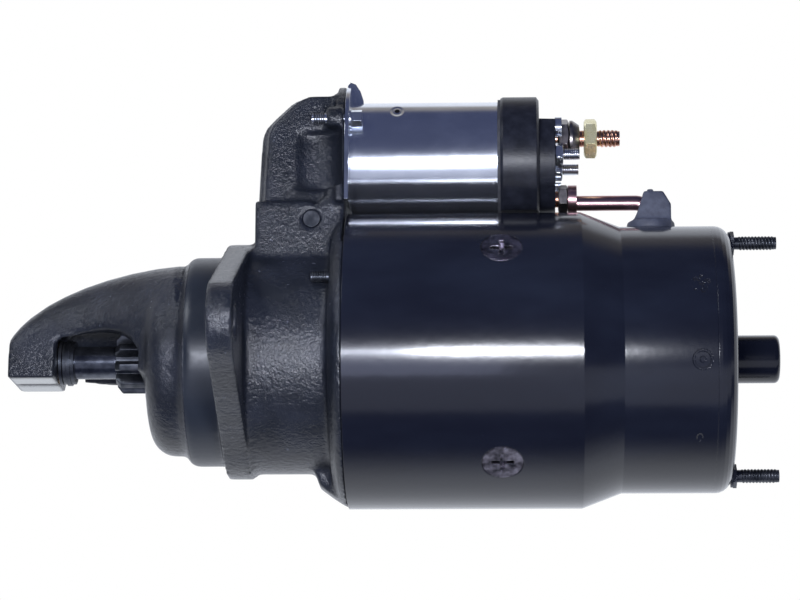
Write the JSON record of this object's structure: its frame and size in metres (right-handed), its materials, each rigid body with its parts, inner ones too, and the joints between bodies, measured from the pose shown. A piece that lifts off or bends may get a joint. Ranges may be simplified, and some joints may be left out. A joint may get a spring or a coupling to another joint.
{
  "type": "starter motor",
  "caption": "Solenoid-actuated starter motor with an iron nose housing, sliding pinion on an overrunning clutch, and a solenoid with switch terminals on top.",
  "frame": {"origin": "motor axis, in the front face of the mounting flange", "axes": "+X along the motor axis towards the commutator end, +Z towards the solenoid, +Y away from the side with the pinion window"},
  "size_m": [0.296, 0.18, 0.1676],
  "materials": {
    "cast_black": "satin black paint on rough cast iron",
    "gloss_black": "gloss black paint on steel",
    "plated_steel": "bright plated steel",
    "dark_steel": "dark oiled steel",
    "machined_steel": "machined steel",
    "copper": "copper",
    "yellow_zinc": "yellow zinc plating",
    "bronze": "sintered bronze",
    "cap_plastic": "satin black moulded plastic",
    "winding": "enamelled copper winding",
    "boot_rubber": "grey-blue rubber",
    "gasket": "grey gasket",
    "carbon": "copper graphite",
    "fibre": "phenolic fibre",
    "lamination": "electrical steel laminations",
    "terminal_dark": "dulled plated steel"
  },
  "bodies": {
    "root": {"drive_housing": "cast_black", "nose_bushing": "bronze", "lever_pivot_pin": "dark_steel", "frame_dowels": "machined_steel", "field_frame": "gloss_black", "pole_shoes": "dark_steel", "pole_screws": "gloss_black", "field_coils": "winding", "end_frame": "gloss_black", "end_bushing": "bronze", "through_bolts": "dark_steel", "bolt_washers": "dark_steel", "brush_posts": "dark_steel", "field_lead": "copper", "lead_boot": "boot_rubber", "solenoid_case": "plated_steel", "solenoid_winding": "winding", "solenoid_core": "machined_steel", "solenoid_gasket": "gasket", "solenoid_cap": "cap_plastic", "cap_screws": "plated_steel", "solenoid_screws": "plated_steel", "screw_washers": "plated_steel", "battery_terminal": "copper", "battery_jam_nut": "terminal_dark", "battery_washers": "terminal_dark", "battery_nut": "yellow_zinc", "motor_terminal": "copper", "motor_nut": "terminal_dark", "switch_terminals": "terminal_dark", "switch_nuts": "terminal_dark"},
    "armature": {"armature_shaft": "machined_steel", "armature_core": "lamination", "armature_winding": "winding", "commutator": "copper", "commutator_hub": "fibre", "stop_collar": "dark_steel", "thrust_washers": "dark_steel"},
    "drive": {"shift_collar": "dark_steel", "collar_ring": "dark_steel", "meshing_spring": "machined_steel"},
    "clutch": {"clutch_sleeve": "machined_steel", "clutch_shell": "machined_steel", "clutch_rollers": "machined_steel"},
    "pinion": {"pinion": "dark_steel"},
    "plunger": {"plunger": "machined_steel", "link_pin": "dark_steel", "plunger_spring": "machined_steel"},
    "contact": {"contact_disc": "copper", "contact_rod": "fibre", "contact_spring": "machined_steel"},
    "lever": {"shift_lever": "dark_steel"},
    "brush_arm_1": {"brush_arm_1": "yellow_zinc", "brush_1": "carbon"},
    "brush_arm_2": {"brush_arm_2": "yellow_zinc", "brush_2": "carbon"},
    "brush_arm_3": {"brush_arm_3": "yellow_zinc", "brush_3": "carbon"},
    "brush_arm_4": {"brush_arm_4": "yellow_zinc", "brush_4": "carbon"}
  },
  "joints": [
    {"name": "armature_spin", "type": "hinge", "parent": "root", "child": "armature", "pos_m": [0, 0, 0], "axis": [1, 0, 0], "continuous": true},
    {"name": "drive_slide", "type": "slide", "parent": "armature", "child": "drive", "axis": [-1, 0, 0], "range_m": [0, 0.01567], "stiffness_N_per_m": 1500, "springref_m": -0.02},
    {"name": "drive_helix", "type": "hinge", "parent": "drive", "child": "clutch", "pos_m": [0, 0, 0], "axis": [1, 0, 0], "range_deg": [0, 70.5]},
    {"name": "pinion_overrun", "type": "hinge", "parent": "clutch", "child": "pinion", "pos_m": [0, 0, 0], "axis": [1, 0, 0], "continuous": true},
    {"name": "plunger_slide", "type": "slide", "parent": "root", "child": "plunger", "axis": [1, 0, 0], "range_m": [0, 0.00901], "deforming": ["plunger_spring"]},
    {"name": "contact_slide", "type": "slide", "parent": "root", "child": "contact", "axis": [1, 0, 0], "range_m": [0, 0.00201], "deforming": ["contact_spring"]},
    {"name": "lever_swing", "type": "hinge", "parent": "root", "child": "lever", "pos_m": [0.033, 0, 0.051], "axis": [0, 1, 0], "range_deg": [0, 17.69]},
    {"name": "brush_lift_1", "type": "hinge", "parent": "root", "child": "brush_arm_1", "pos_m": [0.163, -0.01191, 0.03903], "axis": [-1, 0, 0], "range_deg": [0, 12], "stiffness_Nm_per_rad": 0.02, "springref_deg": -28.65},
    {"name": "brush_lift_2", "type": "hinge", "parent": "root", "child": "brush_arm_2", "pos_m": [0.163, -0.03903, -0.01191], "axis": [-1, 0, 0], "range_deg": [0, 12], "stiffness_Nm_per_rad": 0.02, "springref_deg": -28.65},
    {"name": "brush_lift_3", "type": "hinge", "parent": "root", "child": "brush_arm_3", "pos_m": [0.163, 0.01191, -0.03903], "axis": [-1, 0, 0], "range_deg": [0, 12], "stiffness_Nm_per_rad": 0.02, "springref_deg": -28.65},
    {"name": "brush_lift_4", "type": "hinge", "parent": "root", "child": "brush_arm_4", "pos_m": [0.163, 0.03903, 0.01191], "axis": [-1, 0, 0], "range_deg": [0, 12], "stiffness_Nm_per_rad": 0.02, "springref_deg": -28.65}
  ],
  "couplings": [
    {"joint": "plunger_slide", "follows": "drive_slide", "ratio": 0.57451},
    {"joint": "lever_swing", "follows": "drive_slide", "rad_per_m": 19.686},
    {"joint": "contact_slide", "follows": "drive_slide", "ratio": 0.12767},
    {"joint": "drive_helix", "follows": "drive_slide", "rad_per_m": 78.54}
  ]
}
